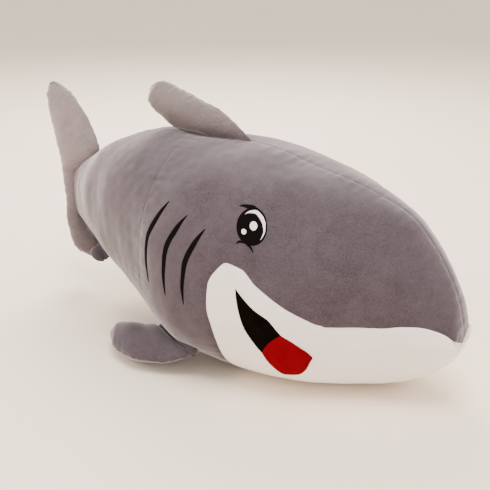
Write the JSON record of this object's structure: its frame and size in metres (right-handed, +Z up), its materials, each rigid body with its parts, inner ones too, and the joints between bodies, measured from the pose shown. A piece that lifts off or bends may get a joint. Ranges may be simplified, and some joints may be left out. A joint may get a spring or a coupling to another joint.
{
  "type": "plush shark",
  "caption": "Large stuffed shark floor toy with sewn plush panels, polyester filling and stitched-on fins that flop and spring back.",
  "frame": {"origin": "on the floor, under the middle of the toy's box", "axes": "+X towards the nose, +Y to the shark's left, +Z up"},
  "size_m": [1.2008, 0.602, 0.5972],
  "materials": {
    "grey_plush": "short-nap plush",
    "white_plush": "short-nap plush",
    "black_embroidery": "satin stitch",
    "white_embroidery": "satin stitch",
    "black_applique": "short-nap plush",
    "red_applique": "short-nap plush",
    "grey_thread": "matt",
    "white_thread": "matt",
    "polyester_filling": "fluffy"
  },
  "bodies": {
    "body": {"head_panel_right": "grey_plush", "head_panel_left": "grey_plush", "rear_panel_right": "grey_plush", "rear_panel_left": "grey_plush", "belly_panel": "grey_plush", "jaw_panel": "white_plush", "body_filling": "polyester_filling", "top_center_seam": "grey_thread", "girth_seam": "grey_thread", "jaw_seam": "white_thread", "belly_seam_right": "grey_thread", "belly_seam_left": "grey_thread", "mouth_right": "black_applique", "mouth_left": "black_applique", "tongue_right": "red_applique", "tongue_left": "red_applique", "gill_rear_right": "black_embroidery", "gill_middle_right": "black_embroidery", "gill_front_right": "black_embroidery", "gill_rear_left": "black_embroidery", "gill_middle_left": "black_embroidery", "gill_front_left": "black_embroidery", "eye_right": "black_embroidery", "eye_left": "black_embroidery", "eye_highlight_right": "white_embroidery", "eye_highlight_left": "white_embroidery", "dorsal_root_seam": "grey_thread", "pectoral_root_seam_right": "grey_thread", "pectoral_root_seam_left": "grey_thread", "tail_root_seam": "grey_thread"},
    "dorsal_fin": {"dorsal_panel_right": "grey_plush", "dorsal_panel_left": "grey_plush", "dorsal_filling": "polyester_filling"},
    "pectoral_fin_right": {"pectoral_top_right": "grey_plush", "pectoral_bottom_right": "grey_plush", "pectoral_filling_right": "polyester_filling"},
    "pectoral_fin_left": {"pectoral_top_left": "grey_plush", "pectoral_bottom_left": "grey_plush", "pectoral_filling_left": "polyester_filling"},
    "pelvic_fin_right": {"pelvic_top_right": "grey_plush", "pelvic_bottom_right": "grey_plush", "pelvic_filling_right": "polyester_filling"},
    "pelvic_fin_left": {"pelvic_top_left": "grey_plush", "pelvic_bottom_left": "grey_plush", "pelvic_filling_left": "polyester_filling"},
    "tail_fin": {"tail_panel_right": "grey_plush", "tail_panel_left": "grey_plush", "tail_filling": "polyester_filling"}
  },
  "joints": [
    {"name": "dorsal_flop", "type": "hinge", "parent": "body", "child": "dorsal_fin", "pos_m": [-0.032, 0, 0.496], "axis": [1, 0, 0], "range_deg": [-25, 25], "stiffness_Nm_per_rad": 0.6},
    {"name": "pectoral_lift_right", "type": "hinge", "parent": "body", "child": "pectoral_fin_right", "pos_m": [0.006, -0.223, 0.054], "axis": [-0.9394, 0.3428, 0], "range_deg": [0, 18], "stiffness_Nm_per_rad": 3},
    {"name": "pectoral_lift_left", "type": "hinge", "parent": "body", "child": "pectoral_fin_left", "pos_m": [0.006, 0.223, 0.054], "axis": [0.9394, 0.3428, 0], "range_deg": [0, 18], "stiffness_Nm_per_rad": 3},
    {"name": "pelvic_flap_right", "type": "hinge", "parent": "body", "child": "pelvic_fin_right", "pos_m": [-0.328, -0.102, 0.165], "axis": [-0.8913, 0.26, 0.3714], "range_deg": [-15, 25], "stiffness_Nm_per_rad": 0.15},
    {"name": "pelvic_flap_left", "type": "hinge", "parent": "body", "child": "pelvic_fin_left", "pos_m": [-0.328, 0.102, 0.165], "axis": [0.8913, 0.26, -0.3714], "range_deg": [-15, 25], "stiffness_Nm_per_rad": 0.15},
    {"name": "tail_wag", "type": "hinge", "parent": "body", "child": "tail_fin", "pos_m": [-0.502, 0, 0.26], "axis": [0, 0, 1], "range_deg": [-25, 25], "stiffness_Nm_per_rad": 1}
  ]
}
